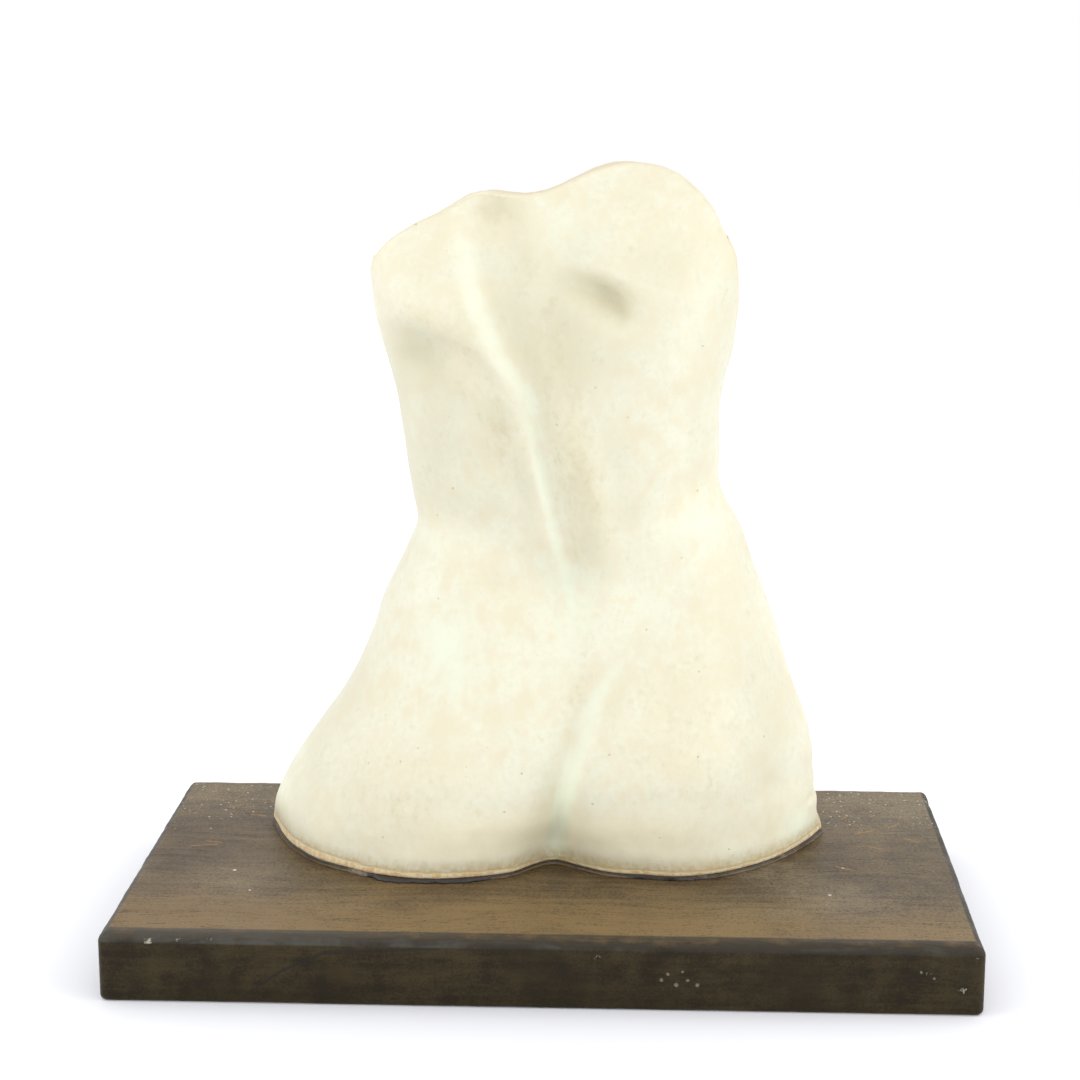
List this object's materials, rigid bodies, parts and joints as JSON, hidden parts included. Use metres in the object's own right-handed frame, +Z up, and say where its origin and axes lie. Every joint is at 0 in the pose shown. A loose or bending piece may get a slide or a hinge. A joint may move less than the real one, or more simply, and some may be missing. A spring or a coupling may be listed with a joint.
{
  "type": "stoneware torso sculpture",
  "caption": "Hollow glazed stoneware torso, the back of a standing figure from hips to shoulders, on a stained wooden plinth.",
  "frame": {"origin": "centre of the plinth's underside", "axes": "+Z up, +X along the plinth's length, to the right as the modelled side is seen; the modelled side faces -Y and the open side of the shell faces +Y"},
  "size_m": [0.25, 0.138, 0.2327],
  "materials": {
    "plinth_wood": "dark brown stain, satin, dusty and a little worn",
    "adhesive": "blackish hardened adhesive, uneven",
    "glazed_stoneware": "cream semi-matt stoneware glaze with tan mottling, bare buff clay on the cut rim and inside"
  },
  "bodies": {
    "root": {"plinth": "plinth_wood", "adhesive_bed": "adhesive", "torso": "glazed_stoneware"}
  },
  "joints": []
}
